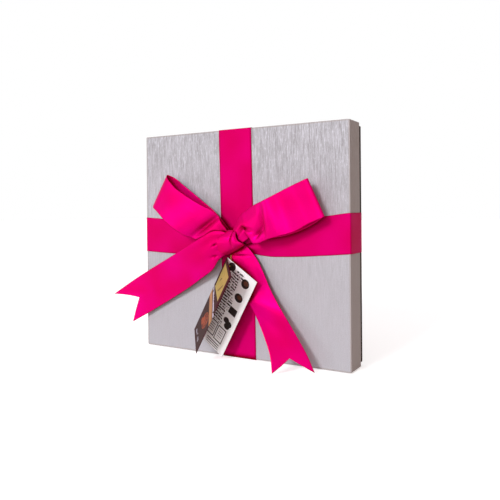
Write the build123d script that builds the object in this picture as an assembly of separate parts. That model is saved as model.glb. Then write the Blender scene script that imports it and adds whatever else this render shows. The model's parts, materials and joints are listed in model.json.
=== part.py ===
from build123d import *
import math
import os

os.makedirs("parts", exist_ok=True)

# The box stands upright on one side, its lid facing -Y, +Z up and +X to the right of the lid.
# The origin is the middle of the face it stands on. Every size is in millimetres.

# Whole box
box_wide = 200.0
box_high = 193.0
box_deep = 29.5
lid_deep = 20.7

# Board, covering paper and running gaps
board_thick = 1.2
wrap_thick = 0.2
lid_gap = 0.3
rim_gap = 0.6
turn_in_deep = 12.0
edge_round = 0.8
piece_gap = 0.3
overrun = 5.0

# Ribbon and the way it crosses the lid
ribbon_wide = 32.5
ribbon_thick = 0.4
upright_run_x = -1.0
level_run_up = 7.0
gather_wide = 19.0
gather_reach = 45.0

# Knot, set out from the middle of the lid
knot_x = -3.0
knot_up = 1.0
knot_wide = 24.0
knot_high = 18.5
knot_deep = 14.0
knot_corner = 6.0
knot_crown = 5.0
knot_turn = 18.0

# Bow loops
left_loop_turn = 148.5
right_loop_turn = 26.0
left_loop_reach = 86.5
right_loop_reach = 85.0
loop_back_out = 4.0
loop_fold_wide = 10.0
loop_fold_deep = 4.6
loop_crown_out = 19.0
loop_root_out = 11.0
loop_root_wide = 17.0
loop_gather = 26.0

# Left tail
left_tail_turn = 207.5
left_tail_reach = 133.0
left_tail_crown_out = 11.0
left_tail_edge_out = 3.6
left_tail_end_out = 6.0
left_tail_gather = 34.0
left_tail_root_wide = 13.0
left_tail_notch = 20.0
left_tail_slant = 4.5

# Right tail, which spreads from the knot down to the standing face
right_tail_root_x = 9.0
right_tail_root_drop = 10.5
right_tail_root_wide = 20.0
right_tail_root_out = 2.4
right_tail_end_x = 65.0
right_tail_left_out = 29.0
right_tail_right_out = 11.0
right_tail_turn = 33.0
right_tail_notch = 12.0
tail_floor_gap = 0.4

# Leaflet: a page and its cover, folded along the spine
leaf_wide = 39.6
leaf_long = 73.0
leaf_thick = 0.4
leaf_lean = 28.2
page_turn = 12.8
cover_turn = 48.4
spine_x = -8.8
spine_up = -11.9
spine_out = 4.0
spine_gap = 0.3
hole_across = 7.0
hole_drop = 4.5
hole_radius = 0.6
tie_radius = 0.35
tie_behind = 1.6
tie_bead = 0.8

# Tray, pad and chocolates
tray_gap = 0.4
tray_high = 15.0
sheet_thick = 0.4
tray_margin = 3.0
cup_count = 5
cup_wall_gap = 3.0
cup_corner = 7.0
cup_draft = 5.0
pad_corner = 4.0
sweet_wide = 28.5
sweet_high = 20.0
flute_count = 14

# How the bow is drawn: shares of a knot, a loop, a tail and the cord's bead
knot_root_share = 0.25
knot_flat_share = 0.33
knot_crown_share = 0.9
loop_crown_share = 0.6
tail_crown_share = 0.6
tail_shoulder_share = 0.9
tail_fall_share = 0.2
bead_front_share = 1.15

# How the chocolates are drawn: shares of their width and height
foot_share = 0.92
square_share = 0.92
square_high_share = 0.85
square_corner_share = 0.1
square_soft_share = 0.07
oval_share = 0.36
oval_high_share = 0.8
oval_soft_share = 0.14
nut_share = 0.27
nut_foot_share = 1.4
nut_reach_share = 0.8
cluster_high_share = 0.93
flute_share = 0.9
flute_foot_share = 0.8
flute_high_share = 0.75

# Places that follow from the sizes above
wall_thick = wrap_thick + board_thick + wrap_thick
face_thick = wrap_thick + board_thick
face_y = -box_deep / 2
back_y = box_deep / 2
foot_z = ribbon_thick
crown_z = foot_z + box_high
middle_z = foot_z + box_high / 2
lid_rim_y = face_y + lid_deep
recess = wall_thick + lid_gap
base_wide = box_wide - 2 * recess
base_high = box_high - 2 * recess
base_rim_y = face_y + face_thick + rim_gap
floor_y = back_y - face_thick
inner_wide = base_wide - 2 * wall_thick
inner_high = base_high - 2 * wall_thick
sweet_seat_y = floor_y - sheet_thick
pad_back_y = sweet_seat_y - sweet_high - piece_gap
pad_front_y = face_y + face_thick + piece_gap


def block(low, high):
    """A box between two opposite corners."""
    sizes = [top - bottom for bottom, top in zip(low, high)]
    return Pos(*low) * Box(*sizes, align=(Align.MIN, Align.MIN, Align.MIN))


def upright_block(wide, high, front, back):
    """A box centred on the lid's middle, from front to back along Y."""
    return block(
        (-wide / 2, front, middle_z - high / 2),
        (wide / 2, back, middle_z + high / 2),
    )


def rounded_block(wide, high, front, back, radius):
    """The same box with the four edges that run along Y rounded."""
    solid = upright_block(wide, high, front, back)
    return fillet(solid.edges().filter_by(Axis.Y), radius)


def save(solid, name):
    """Writes one piece to its own file."""
    solid.label = name
    export_step(solid, f"parts/{name}.step")


# Lid and base


def open_tray(wide, high, floor, rim):
    """The board of one half of the box: four walls and a floor, open at the rim."""
    way = math.copysign(1, rim - floor)
    board_wide = wide - 2 * wrap_thick
    board_high = high - 2 * wrap_thick
    board_floor = floor + way * wrap_thick
    board_rim = rim - way * wrap_thick
    outside = rounded_block(
        board_wide,
        board_high,
        min(board_floor, board_rim),
        max(board_floor, board_rim),
        edge_round - wrap_thick,
    )
    inside_floor = board_floor + way * board_thick
    beyond_rim = rim + way * overrun
    inside = upright_block(
        board_wide - 2 * board_thick,
        board_high - 2 * board_thick,
        min(inside_floor, beyond_rim),
        max(inside_floor, beyond_rim),
    )
    return outside - inside


def covering_paper(wide, high, floor, rim, board):
    """The paper glued round a board tray and turned in over its rim."""
    way = math.copysign(1, rim - floor)
    outside = rounded_block(wide, high, min(floor, rim), max(floor, rim), edge_round)
    inside = upright_block(
        wide - 2 * wall_thick,
        high - 2 * wall_thick,
        min(floor + way * face_thick, rim + way * overrun),
        max(floor + way * face_thick, rim + way * overrun),
    )
    paper_end = rim - way * turn_in_deep
    board_floor = floor + way * face_thick
    uncovered = upright_block(
        wide - 2 * face_thick,
        high - 2 * face_thick,
        min(board_floor, paper_end),
        max(board_floor, paper_end),
    )
    return outside - inside - uncovered - board


def make_box():
    """The telescoping lid and base, each a board tray and its paper."""
    lid_board = open_tray(box_wide, box_high, face_y, lid_rim_y)
    base_board = open_tray(base_wide, base_high, back_y, base_rim_y)
    save(lid_board, "lid_board")
    save(covering_paper(box_wide, box_high, face_y, lid_rim_y, lid_board), "lid_wrap")
    save(base_board, "base_board")
    save(covering_paper(base_wide, base_high, back_y, base_rim_y, base_board), "base_wrap")


# Ribbon round the box


def face_prism(points, front, back):
    """An upright outline of (x, z) points, carried from front to back along Y."""
    outline = Polyline([Vector(x, front, z) for x, z in points], close=True)
    return extrude(make_face(outline), back - front, dir=(0, 1, 0))


def level_step(wall_y, way, low_z, high_z):
    """What the level run loses and gains where it steps over the upright run."""
    low_x = upright_run_x - ribbon_wide / 2
    high_x = upright_run_x + ribbon_wide / 2
    first = wall_y + way * ribbon_thick
    second = first + way * ribbon_thick
    gap = block(
        (low_x - ribbon_thick, min(wall_y, first), low_z),
        (high_x + ribbon_thick, max(wall_y, first), high_z),
    )
    bridge = block(
        (low_x - ribbon_thick, min(wall_y, second), low_z),
        (high_x + ribbon_thick, max(wall_y, second), high_z),
    )
    under = block((low_x, min(wall_y, first), low_z), (high_x, max(wall_y, first), high_z))
    return gap, bridge - under


def upright_lid_run():
    """The run down the lid's face, with its ends over the lid's upper and lower sides."""
    low_x = upright_run_x - ribbon_wide / 2
    high_x = upright_run_x + ribbon_wide / 2
    outside = block((low_x, face_y - ribbon_thick, 0), (high_x, lid_rim_y, crown_z + ribbon_thick))
    inside = block(
        (low_x - overrun, face_y, foot_z),
        (high_x + overrun, lid_rim_y + overrun, crown_z),
    )
    return outside - inside


def level_lid_run():
    """The run across the lid's face, over the upright run and drawn in at the knot."""
    middle = middle_z + level_run_up
    half = ribbon_wide / 2
    low_z = middle - half
    high_z = middle + half
    side = box_wide / 2
    outside = block(
        (-side - ribbon_thick, face_y - ribbon_thick, low_z),
        (side + ribbon_thick, lid_rim_y, high_z),
    )
    inside = block(
        (-side, face_y, low_z - overrun),
        (side, lid_rim_y + overrun, high_z + overrun),
    )
    gap, bridge = level_step(face_y, -1, low_z, high_z)
    run = outside - inside - gap + bridge
    knot_z = middle_z + knot_up
    waist = gather_wide / 2
    flat = knot_wide * knot_flat_share
    front = face_y - overrun
    for side_way, edge_z in ((1, high_z), (-1, low_z)):
        beyond = edge_z + side_way * overrun
        waist_z = knot_z + side_way * waist
        drawn_in = face_prism(
            [
                (knot_x - gather_reach, beyond),
                (knot_x - gather_reach, edge_z),
                (knot_x - flat, waist_z),
                (knot_x + flat, waist_z),
                (knot_x + gather_reach, edge_z),
                (knot_x + gather_reach, beyond),
            ],
            front,
            face_y,
        )
        run = run - drawn_in
    return run


def base_run_face(low_side, high_side, plane_point):
    """The ribbon's path round the base, seen edge on, from the lid's rim over the recess."""
    start_y = lid_rim_y + piece_gap / 3
    inner = [
        (start_y, low_side),
        (back_y, low_side + recess),
        (back_y, high_side - recess),
        (start_y, high_side),
    ]
    outer = [
        (start_y, low_side - ribbon_thick),
        (back_y + ribbon_thick, low_side + recess - ribbon_thick),
        (back_y + ribbon_thick, high_side - recess + ribbon_thick),
        (start_y, high_side + ribbon_thick),
    ]
    path = [plane_point(y, side) for y, side in outer + inner[::-1]]
    return make_face(Polyline(path, close=True))


def upright_base_run():
    """The upright run's part on the base, across its back."""
    low_x = upright_run_x - ribbon_wide / 2
    face = base_run_face(foot_z, crown_z, lambda y, side: Vector(low_x, y, side))
    return extrude(face, ribbon_wide, dir=(1, 0, 0))


def level_base_run():
    """The level run's part on the base, over the upright run at the back."""
    low_z = middle_z + level_run_up - ribbon_wide / 2
    high_z = low_z + ribbon_wide
    side = box_wide / 2
    face = base_run_face(-side, side, lambda y, reach: Vector(reach, y, low_z))
    gap, bridge = level_step(back_y, 1, low_z, high_z)
    return extrude(face, ribbon_wide, dir=(0, 0, 1)) - gap + bridge


# Bow on the lid


def bow_plane(turn):
    """A plane at the knot: local X runs outward at an angle, local Y stands off the lid."""
    angle = math.radians(turn)
    return Plane(
        origin=(knot_x, face_y, middle_z + knot_up),
        x_dir=(math.cos(angle), 0, math.sin(angle)),
        z_dir=(math.sin(angle), 0, -math.cos(angle)),
    )


def make_knot():
    """The knot: a crowned, rounded lump of ribbon over the crossing."""
    base = bow_plane(knot_turn)
    start = 2 * ribbon_thick
    facing = Plane(
        origin=base.from_local_coords(Vector(0, start, 0)),
        x_dir=base.x_dir,
        z_dir=(0, -1, 0),
    )
    lump = extrude(facing * RectangleRounded(knot_wide, knot_high, knot_corner), knot_deep)
    front_edges = lump.edges().group_by(Axis.Y)[0]
    return fillet(front_edges, min(knot_crown, knot_corner * knot_crown_share, knot_deep / 2))


def outline_prism(plane, points):
    """A prism through a bow piece, from an outline of (outward, across) points."""
    corners = [plane.from_local_coords(Vector(reach, -overrun, across)) for reach, across in points]
    height = loop_crown_out + loop_fold_wide + 2 * overrun
    return extrude(make_face(Polyline(corners, close=True)), height, dir=(0, -1, 0))


def bow_loop(turn, reach, knot):
    """One loop: a back ply, a fold at its far end and a crowned front ply."""
    plane = bow_plane(turn)
    root = knot_wide * knot_root_share
    fold = reach - loop_fold_deep
    front_out = loop_back_out + loop_fold_wide
    back_root = 2 * ribbon_thick + piece_gap
    back_ply = Line((root, back_root), (fold, loop_back_out))
    end_fold = ThreePointArc(
        (fold, loop_back_out),
        (reach, loop_back_out + loop_fold_wide / 2),
        (fold, front_out),
    )
    crown = (fold * loop_crown_share, loop_crown_out)
    front_ply = ThreePointArc((fold, front_out), crown, (root, loop_root_out))
    close = Line((root, loop_root_out), (root, back_root))
    outside = make_face(Wire([back_ply, end_fold, front_ply, close]))
    band = outside - offset(outside, -ribbon_thick)
    strip = extrude(plane * band, ribbon_wide / 2, both=True)
    outline = outline_prism(
        plane,
        [
            (root + 2 * ribbon_thick, loop_root_wide / 2),
            (loop_gather + root, ribbon_wide / 2),
            (reach + overrun, ribbon_wide / 2),
            (reach + overrun, -ribbon_wide / 2),
            (loop_gather + root, -ribbon_wide / 2),
            (root + 2 * ribbon_thick, -loop_root_wide / 2),
        ],
    )
    return (strip & outline) - knot


def make_left_tail(knot):
    """The tail that lies out over the lid's left edge and ends in a notch."""
    plane = bow_plane(left_tail_turn)
    root = knot_wide * knot_root_share
    edge_reach = (box_wide / 2 + knot_x) / abs(math.cos(math.radians(left_tail_turn)))
    end = left_tail_reach + left_tail_slant
    middle = (root + edge_reach) / 2
    crown = (middle * tail_crown_share, left_tail_crown_out)
    shoulder = (middle, left_tail_crown_out * tail_shoulder_share)
    half_way = (middle + edge_reach) / 2
    slope = (half_way, left_tail_edge_out + left_tail_crown_out * tail_fall_share)
    edge = (edge_reach, left_tail_edge_out)
    rise = ThreePointArc((root, loop_back_out), crown, shoulder)
    fall = ThreePointArc(shoulder, slope, edge)
    lift = Line(edge, (end, left_tail_end_out))
    path = Wire([rise, fall, lift])
    band = make_face(path.offset_2d(ribbon_thick, side=Side.LEFT, closed=True))
    strip = extrude(plane * band, ribbon_wide / 2, both=True)
    half = ribbon_wide / 2
    outline = outline_prism(
        plane,
        [
            (root + 2 * ribbon_thick, left_tail_root_wide / 2),
            (root + left_tail_gather, half),
            (end, half),
            (left_tail_reach - left_tail_notch, 0),
            (left_tail_reach - left_tail_slant, -half),
            (root + left_tail_gather, -half),
            (root + 2 * ribbon_thick, -left_tail_root_wide / 2),
        ],
    )
    return (strip & outline) - knot


# How the right tail comes forward: shares of its drop, and of what each edge stands off
right_tail_shares = [
    (0.0, 0.0, 0.0),
    (0.13, 0.03, 0.10),
    (0.26, 0.10, 0.24),
    (0.39, 0.20, 0.38),
    (0.59, 0.41, 0.52),
    (0.82, 0.71, 0.74),
    (1.0, 1.0, 1.0),
]


def make_right_tail(knot):
    """The tail that spreads from under the knot and stands on its two tips."""
    root_x = knot_x + right_tail_root_x
    root_z = middle_z + knot_up - right_tail_root_drop
    drop = root_z - tail_floor_gap
    end_half = ribbon_wide / 2 * math.cos(math.radians(right_tail_turn))
    left_start = root_x - right_tail_root_wide / 2
    right_start = root_x + right_tail_root_wide / 2
    left_end = knot_x + right_tail_end_x - end_half
    right_end = knot_x + right_tail_end_x + end_half
    sections = []
    for share, left_share, right_share in right_tail_shares:
        z = root_z - share * drop
        left_x = left_start + share * (left_end - left_start)
        right_x = right_start + share * (right_end - right_start)
        left_y = face_y - right_tail_root_out - left_share * right_tail_left_out
        right_y = face_y - right_tail_root_out - right_share * right_tail_right_out
        across = Vector(right_x - left_x, right_y - left_y, 0).normalized()
        back = Vector(-across.Y, across.X, 0) * ribbon_thick
        left = Vector(left_x, left_y, z)
        right = Vector(right_x, right_y, z)
        sections.append(Wire(Polyline([left, right, right + back, left + back], close=True)))
    strip = Solid.make_loft(sections, True)
    middle = (Vector(left_x, left_y, z) + Vector(right_x, right_y, z)) * 0.5
    forward = Vector(across.Y, -across.X, 0) * overrun
    notch_corners = [
        middle - across * (ribbon_wide / 2) - Vector(0, 0, overrun),
        middle - across * (ribbon_wide / 2 - ribbon_thick),
        middle + Vector(0, 0, right_tail_notch),
        middle + across * (ribbon_wide / 2 - ribbon_thick),
        middle + across * (ribbon_wide / 2) - Vector(0, 0, overrun),
    ]
    notch_face = make_face(Polyline([corner + forward for corner in notch_corners], close=True))
    notch = extrude(notch_face, 2 * overrun, dir=tuple(forward * -1))
    return strip - notch - knot


def make_bow():
    """The runs on the lid and base, the knot, two loops and two tails."""
    save(upright_lid_run(), "lid_ribbon_upright")
    save(level_lid_run(), "lid_ribbon_level")
    save(upright_base_run(), "base_ribbon_upright")
    save(level_base_run(), "base_ribbon_level")
    knot = make_knot()
    save(knot, "bow_knot")
    save(bow_loop(left_loop_turn, left_loop_reach, knot), "bow_left_loop")
    save(bow_loop(right_loop_turn, right_loop_reach, knot), "bow_right_loop")
    save(make_left_tail(knot), "bow_left_tail")
    save(make_right_tail(knot), "bow_right_tail")
    save(make_tie(knot), "leaflet_tie")


# Leaflet and the cord that it hangs on


def leaf_plane(turn):
    """A leaf's plane: local X runs from the spine, local Y up along it."""
    lean = math.radians(leaf_lean)
    angle = math.radians(turn)
    across = Vector(math.cos(lean), 0, -math.sin(lean))
    leaf_way = across * math.cos(angle) + Vector(0, -1, 0) * math.sin(angle)
    spine_way = Vector(math.sin(lean), 0, math.cos(lean))
    return Plane(
        origin=(spine_x, face_y - spine_out, middle_z + spine_up),
        x_dir=tuple(leaf_way),
        z_dir=tuple(leaf_way.cross(spine_way)),
    )


def make_leaf(turn, way):
    """One leaf of the leaflet, its inner side on the spine's axis."""
    plane = leaf_plane(turn)
    wide = leaf_wide - spine_gap
    outline = Pos(spine_gap + wide / 2, -leaf_long / 2) * Rectangle(wide, leaf_long)
    return extrude(plane * outline, way * leaf_thick)


def hole_place():
    """The middle of the page's hole, where the cord passes."""
    return leaf_plane(page_turn).from_local_coords(Vector(hole_across, -hole_drop, 0))


def make_page():
    """The page, with the hole that the cord passes through."""
    page = make_leaf(page_turn, -1)
    hole = Plane(origin=hole_place(), z_dir=(0, -1, 0)) * Cylinder(hole_radius, 2 * overrun)
    return page - hole


def make_tie(knot):
    """The cord: down behind the page from the knot, through the hole, to a knotted end."""
    hole = hole_place()
    front = Vector(0, -1, 0)
    bend = tie_behind - leaf_thick
    behind = hole - front * tie_behind
    end = hole + front * (tie_bead * bead_front_share)
    under_knot = knot.bounding_box().min.Z + piece_gap
    top = Vector(behind.X, behind.Y, under_knot)
    bend_start = behind + Vector(0, 0, bend)
    bend_end = behind + front * bend
    path = Wire(
        [
            Line(top, bend_start),
            TangentArc(bend_start, bend_end, tangent=(0, 0, -1)),
            Line(bend_end, end),
        ]
    )
    start = Plane(origin=path @ 0, z_dir=path % 0)
    cord = sweep(start * Circle(tie_radius), path=path)
    return cord + Pos(*end) * Sphere(tie_bead)


def make_leaflet():
    """The page and the cover, two leaves that meet at the spine."""
    save(make_page(), "leaflet_page")
    save(make_leaf(cover_turn, 1), "leaflet_cover")


# Tray, pad and chocolates


def cup_places():
    """Each cup's row, column, and middle, as row and column numbers and x and z."""
    pitch_x = (inner_wide - 2 * tray_gap - 2 * tray_margin) / cup_count
    pitch_z = (inner_high - 2 * tray_gap - 2 * tray_margin) / cup_count
    middle = (cup_count - 1) / 2
    for row in range(cup_count):
        for column in range(cup_count):
            x = (column - middle) * pitch_x
            z = middle_z + (middle - row) * pitch_z
            yield row, column, x, z


def make_tray():
    """The moulded tray: a skirt, a top sheet and one open cup for each chocolate."""
    wide = inner_wide - 2 * tray_gap
    high = inner_high - 2 * tray_gap
    top_y = floor_y - tray_high
    shell = rounded_block(wide, high, top_y, floor_y, pad_corner)
    inside = rounded_block(
        wide - 2 * sheet_thick,
        high - 2 * sheet_thick,
        top_y + sheet_thick,
        floor_y + overrun,
        pad_corner - sheet_thick,
    )
    pitch_x = (wide - 2 * tray_margin) / cup_count
    pitch_z = (high - 2 * tray_margin) / cup_count
    cup_wide = pitch_x - cup_wall_gap
    cup_high = pitch_z - cup_wall_gap
    outers = []
    inners = []
    outer = RectangleRounded(cup_wide, cup_high, cup_corner)
    inner = RectangleRounded(
        cup_wide - 2 * sheet_thick,
        cup_high - 2 * sheet_thick,
        cup_corner - sheet_thick,
    )
    for row, column, x, z in cup_places():
        mouth = Plane(origin=(x, top_y, z), x_dir=(1, 0, 0), z_dir=(0, 1, 0))
        outers.append(extrude(mouth * outer, tray_high, taper=cup_draft))
        inners.append(extrude(mouth * inner, tray_high - sheet_thick, taper=cup_draft))
    return (shell - inside) + outers - inners


def make_pad():
    """The padding sheet between the chocolates and the lid."""
    wide = inner_wide - 2 * tray_gap
    high = inner_high - 2 * tray_gap
    return rounded_block(wide, high, pad_front_y, pad_back_y, pad_corner)


def round_sweet():
    """A dome on a short round foot."""
    radius = sweet_wide / 2
    foot = sweet_high - radius
    slant = radius * math.sin(math.radians(45))
    outline = [
        Line((0, 0), (radius * foot_share, 0)),
        Line((radius * foot_share, 0), (radius, foot)),
        ThreePointArc((radius, foot), (slant, foot + slant), (0, sweet_high)),
        Line((0, sweet_high), (0, 0)),
    ]
    return revolve(Plane.XZ * make_face(outline), Axis.Z)


def square_sweet():
    """A square block with drafted sides and a softened top."""
    side = sweet_wide * square_share
    outline = RectangleRounded(side, side, sweet_wide * square_corner_share)
    solid = extrude(outline, sweet_high * square_high_share, taper=cup_draft)
    return fillet(solid.edges().group_by(Axis.Z)[-1], sweet_wide * square_soft_share)


def oval_sweet():
    """A low oval with a softened top."""
    outline = Ellipse(sweet_wide / 2, sweet_wide * oval_share)
    solid = extrude(outline, sweet_high * oval_high_share, taper=cup_draft)
    return fillet(solid.edges().group_by(Axis.Z)[-1], sweet_wide * oval_soft_share)


def cluster_sweet():
    """Four coated nuts grown into one lump on a flat foot."""
    nut = sweet_wide * nut_share
    reach = nut * nut_reach_share
    lump = Cylinder(nut * nut_foot_share, nut, align=(Align.CENTER, Align.CENTER, Align.MIN))
    for turn in (90, 210, 330):
        angle = math.radians(turn)
        lump = lump + Pos(reach * math.cos(angle), reach * math.sin(angle), nut) * Sphere(nut)
    return lump + Pos(0, 0, sweet_high * cluster_high_share - nut) * Sphere(nut)


def fluted_sweet():
    """A round cup with straight flutes and a flat top."""
    points = []
    for step in range(2 * flute_count):
        angle = math.pi * step / flute_count
        reach = sweet_wide / 2 * (1 if step % 2 else flute_share)
        points.append((reach * math.cos(angle), reach * math.sin(angle)))
    narrow = [(x * flute_foot_share, y * flute_foot_share) for x, y in points]
    foot = make_face(Polyline(narrow, close=True))
    mouth = Pos(0, 0, sweet_high * flute_high_share) * make_face(Polyline(points, close=True))
    return loft([foot, mouth], ruled=True)


def make_sweets():
    """One chocolate in each cup, its kind stepping from cup to cup."""
    kinds = [round_sweet(), square_sweet(), oval_sweet(), cluster_sweet(), fluted_sweet()]
    for row, column, x, z in cup_places():
        seat = Plane(origin=(x, sweet_seat_y, z), x_dir=(1, 0, 0), z_dir=(0, -1, 0))
        kind = kinds[(2 * row + column) % len(kinds)]
        save(seat * kind, f"chocolate_{row + 1}_{column + 1}")


make_box()
make_bow()
make_leaflet()
save(make_tray(), "tray")
save(make_pad(), "padding_sheet")
make_sweets()
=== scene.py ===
"""Looks of a ribboned chocolate box: a bow, a leaflet on a cord, and what is inside."""

from dataclasses import dataclass, field
from enum import Enum
import json
import logging
import math
from typing import Callable, Dict, List, NamedTuple, Optional, Sequence, Tuple, Union

import bpy
from mathutils import Euler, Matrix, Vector
import numpy as np

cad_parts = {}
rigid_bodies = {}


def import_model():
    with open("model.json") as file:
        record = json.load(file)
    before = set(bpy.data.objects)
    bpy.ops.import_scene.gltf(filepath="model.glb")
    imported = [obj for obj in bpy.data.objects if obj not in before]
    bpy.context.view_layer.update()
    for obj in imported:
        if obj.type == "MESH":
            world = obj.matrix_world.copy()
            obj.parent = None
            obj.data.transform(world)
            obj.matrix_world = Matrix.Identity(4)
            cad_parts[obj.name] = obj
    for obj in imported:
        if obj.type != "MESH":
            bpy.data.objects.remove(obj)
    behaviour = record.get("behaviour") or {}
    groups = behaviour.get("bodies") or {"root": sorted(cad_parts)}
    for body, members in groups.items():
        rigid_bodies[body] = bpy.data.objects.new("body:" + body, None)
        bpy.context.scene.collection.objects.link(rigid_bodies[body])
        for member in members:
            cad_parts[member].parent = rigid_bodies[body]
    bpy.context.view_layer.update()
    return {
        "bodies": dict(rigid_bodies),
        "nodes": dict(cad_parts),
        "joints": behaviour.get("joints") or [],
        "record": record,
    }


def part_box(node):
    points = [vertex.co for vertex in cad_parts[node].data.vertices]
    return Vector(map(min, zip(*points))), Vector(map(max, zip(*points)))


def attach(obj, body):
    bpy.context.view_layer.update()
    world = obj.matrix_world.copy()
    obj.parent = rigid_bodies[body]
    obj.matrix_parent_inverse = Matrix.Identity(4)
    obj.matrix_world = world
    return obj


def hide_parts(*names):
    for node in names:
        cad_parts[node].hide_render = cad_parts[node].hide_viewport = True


log = logging.getLogger("chocolate_box")

MM = 0.001
RIBBON_WIDE = 32.5
PRINT_RELIEF = 0.00001

Point = Tuple[float, float, float]
Colour = Tuple[float, float, float]
Pair = Tuple[float, float]
Shape = Tuple[Pair, Pair]
Face = Tuple[int, ...]
Nodes = Dict[str, bpy.types.Object]


def linear(red: int, green: int, blue: int) -> Colour:
    """Turns a screen colour into a linear one.

    Args:
        red: Red from 0 to 255.
        green: Green from 0 to 255.
        blue: Blue from 0 to 255.

    Returns:
        The three linear parts, 0 to 1.
    """
    parts = []
    for value in (red, green, blue):
        share = value / 255
        parts.append(share / 12.92 if share <= 0.04045 else ((share + 0.055) / 1.055) ** 2.4)
    return parts[0], parts[1], parts[2]


class Side(Enum):
    """Which side of a ribbon surface bulges: along its computed normal, or against it."""

    ALONG = 1
    AGAINST = -1


class Held(Enum):
    STRETCHED = "stretched"
    FOLDED = "folded"
    DRAPED = "draped"
    HUNG = "hung"


def add_object(name: str, data: bpy.types.ID) -> bpy.types.Object:
    """Adds an object to the scene.

    Args:
        name: Its name.
        data: Its mesh, lamp or camera.

    Returns:
        The object.
    """
    made = bpy.data.objects.new(name, data)
    bpy.context.scene.collection.objects.link(made)
    return made


def add_mesh(
    name: str, points: Sequence[Point], faces: Sequence[Face], finish: bpy.types.Material
) -> bpy.types.Object:
    """Makes a smooth mesh and adds it to the scene.

    Args:
        name: Its name.
        points: Its points, in metres.
        faces: Its faces, as numbers of points.
        finish: Its material.

    Returns:
        The mesh's object.
    """
    mesh = bpy.data.meshes.new(name)
    mesh.from_pydata(points, [], faces)
    mesh.shade_smooth()
    mesh.materials.append(finish)
    return add_object(name, mesh)


def grid_faces(many: int, wide: int) -> List[Face]:
    """Returns the faces of a grid of so many rows of so many points, row by row."""
    corners = [row * wide + column for row in range(many - 1) for column in range(wide - 1)]
    return [(corner, corner + 1, corner + wide + 1, corner + wide) for corner in corners]


def wear(piece: bpy.types.Object, finish: bpy.types.Material) -> None:
    """Puts one material on a piece."""
    piece.data.materials.clear()
    piece.data.materials.append(finish)


# Shader building


class Wire:
    """A shader value that does arithmetic by adding nodes to its graph."""

    def __init__(self, graph: "Graph", socket: bpy.types.NodeSocket) -> None:
        """Wraps one output socket of a graph."""
        self.graph = graph
        self.socket = socket

    def _math(self, operation: str, *values: object) -> "Wire":
        """Adds a Math node with one or two values or links, and returns its result."""
        return self.graph.node("ShaderNodeMath", {"operation": operation}, dict(enumerate(values)))

    def __add__(self, other: object) -> "Wire":
        """Adds another value."""
        return self._math("ADD", self, other)

    __radd__ = __add__

    def __sub__(self, other: object) -> "Wire":
        """Takes another value away."""
        return self._math("SUBTRACT", self, other)

    def __rsub__(self, other: object) -> "Wire":
        """Takes this value away from another."""
        return self._math("SUBTRACT", other, self)

    def __mul__(self, other: object) -> "Wire":
        """Multiplies by another value."""
        return self._math("MULTIPLY", self, other)

    __rmul__ = __mul__

    def __truediv__(self, other: object) -> "Wire":
        """Divides by another value."""
        return self._math("DIVIDE", self, other)

    def __rtruediv__(self, other: object) -> "Wire":
        """Divides another value by this one."""
        return self._math("DIVIDE", other, self)

    def __lt__(self, other: object) -> "Wire":
        """Returns 1 where this value is below another, else 0."""
        return self._math("LESS_THAN", self, other)

    def __gt__(self, other: object) -> "Wire":
        """Returns 1 where this value is above another, else 0."""
        return self._math("GREATER_THAN", self, other)

    def __abs__(self) -> "Wire":
        """Returns the size of this value."""
        return self._math("ABSOLUTE", self)

    def sine(self) -> "Wire":
        """Returns the sine of this value."""
        return self._math("SINE", self)

    def fraction(self) -> "Wire":
        """Returns the fractional part of this value."""
        return self._math("FRACT", self)

    def least(self, other: object) -> "Wire":
        """Returns the smaller of this and another value."""
        return self._math("MINIMUM", self, other)

    def most(self, other: object) -> "Wire":
        """Returns the larger of this and another value."""
        return self._math("MAXIMUM", self, other)

    def clamped(self) -> "Wire":
        """Returns this value kept from 0 to 1."""
        return self.most(0.0).least(1.0)

    def between(self, low: float, high: float) -> "Wire":
        """Returns 1 where this value lies between two limits, else 0."""
        return (self > low) * (self < high)


def any_of(masks: Sequence[Wire]) -> Wire:
    """Joins masks.

    Args:
        masks: Values that are 1 inside a shape and 0 outside it.

    Returns:
        1 inside any of the shapes, else 0.
    """
    joined = masks[0]
    for mask in masks[1:]:
        joined = joined.most(mask)
    return joined


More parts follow.
